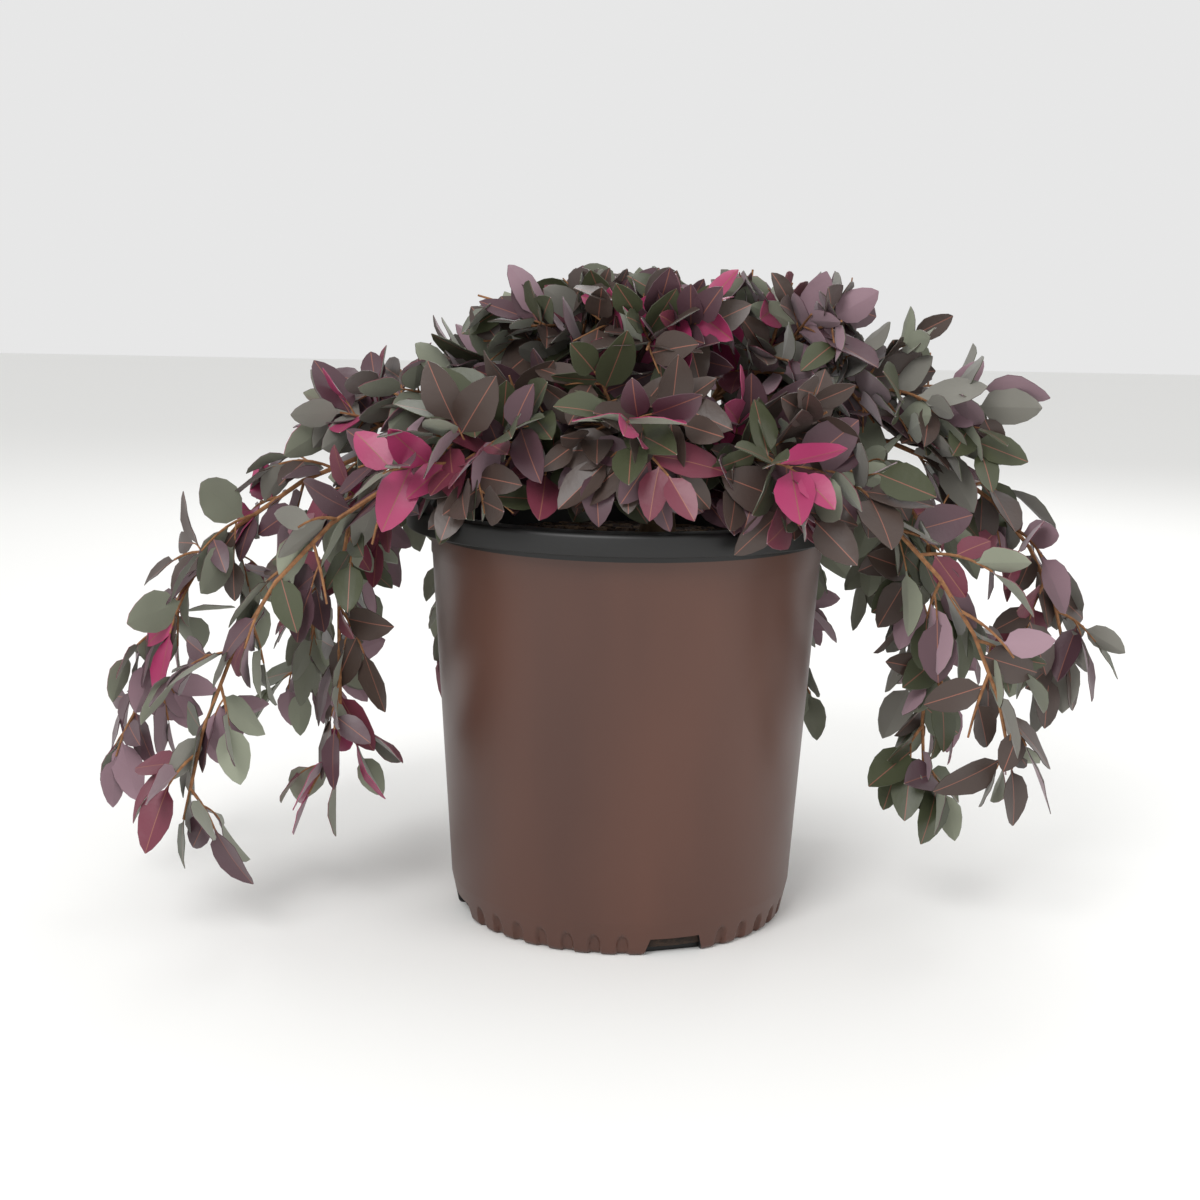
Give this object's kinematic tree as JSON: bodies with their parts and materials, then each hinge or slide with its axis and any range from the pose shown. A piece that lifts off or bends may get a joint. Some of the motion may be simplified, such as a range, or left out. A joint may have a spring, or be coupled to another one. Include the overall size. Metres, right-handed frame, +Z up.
{
  "type": "potted fringe flower shrub",
  "caption": "Weeping dark-leaved fringe flower shrub in a round tapered nursery pot, with a dense domed top and strands that hang past the rim.",
  "frame": {"origin": "centre of the flat underside of the pot", "axes": "+Z up along the pot's axis, +X to the right and -Y towards the viewer of the front"},
  "size_m": [0.5869, 0.3979, 0.3685],
  "materials": {
    "pot_plastic": "satin bronze brown with a black inside and lip",
    "potting_soil": "dark composted bark",
    "bark": "rough brown bark",
    "leaves": "dull bronze purple above, grey green below"
  },
  "bodies": {
    "root": {"back_bough": "bark", "back_foliage": "leaves", "back_left_bough": "bark", "back_left_foliage": "leaves", "back_right_bough": "bark", "back_right_foliage": "leaves", "front_bough": "bark", "front_foliage": "leaves", "front_left_bough": "bark", "front_left_foliage": "leaves", "front_right_bough": "bark", "front_right_foliage": "leaves", "left_back_bough": "bark", "left_back_foliage": "leaves", "left_bough": "bark", "left_foliage": "leaves", "left_front_bough": "bark", "left_front_foliage": "leaves", "left_inner_bough": "bark", "left_inner_foliage": "leaves", "left_shoulder_bough": "bark", "left_shoulder_foliage": "leaves", "pot": "pot_plastic", "rear_left_bough": "bark", "rear_left_foliage": "leaves", "rear_right_bough": "bark", "rear_right_foliage": "leaves", "right_back_bough": "bark", "right_back_foliage": "leaves", "right_bough": "bark", "right_foliage": "leaves", "right_front_bough": "bark", "right_front_foliage": "leaves", "right_inner_bough": "bark", "right_inner_foliage": "leaves", "right_shoulder_bough": "bark", "right_shoulder_foliage": "leaves", "soil": "potting_soil", "top_back_bough": "bark", "top_back_foliage": "leaves", "top_front_bough": "bark", "top_front_foliage": "leaves", "top_left_bough": "bark", "top_left_foliage": "leaves", "top_right_foliage": "leaves", "trunk": "bark"}
  },
  "joints": []
}
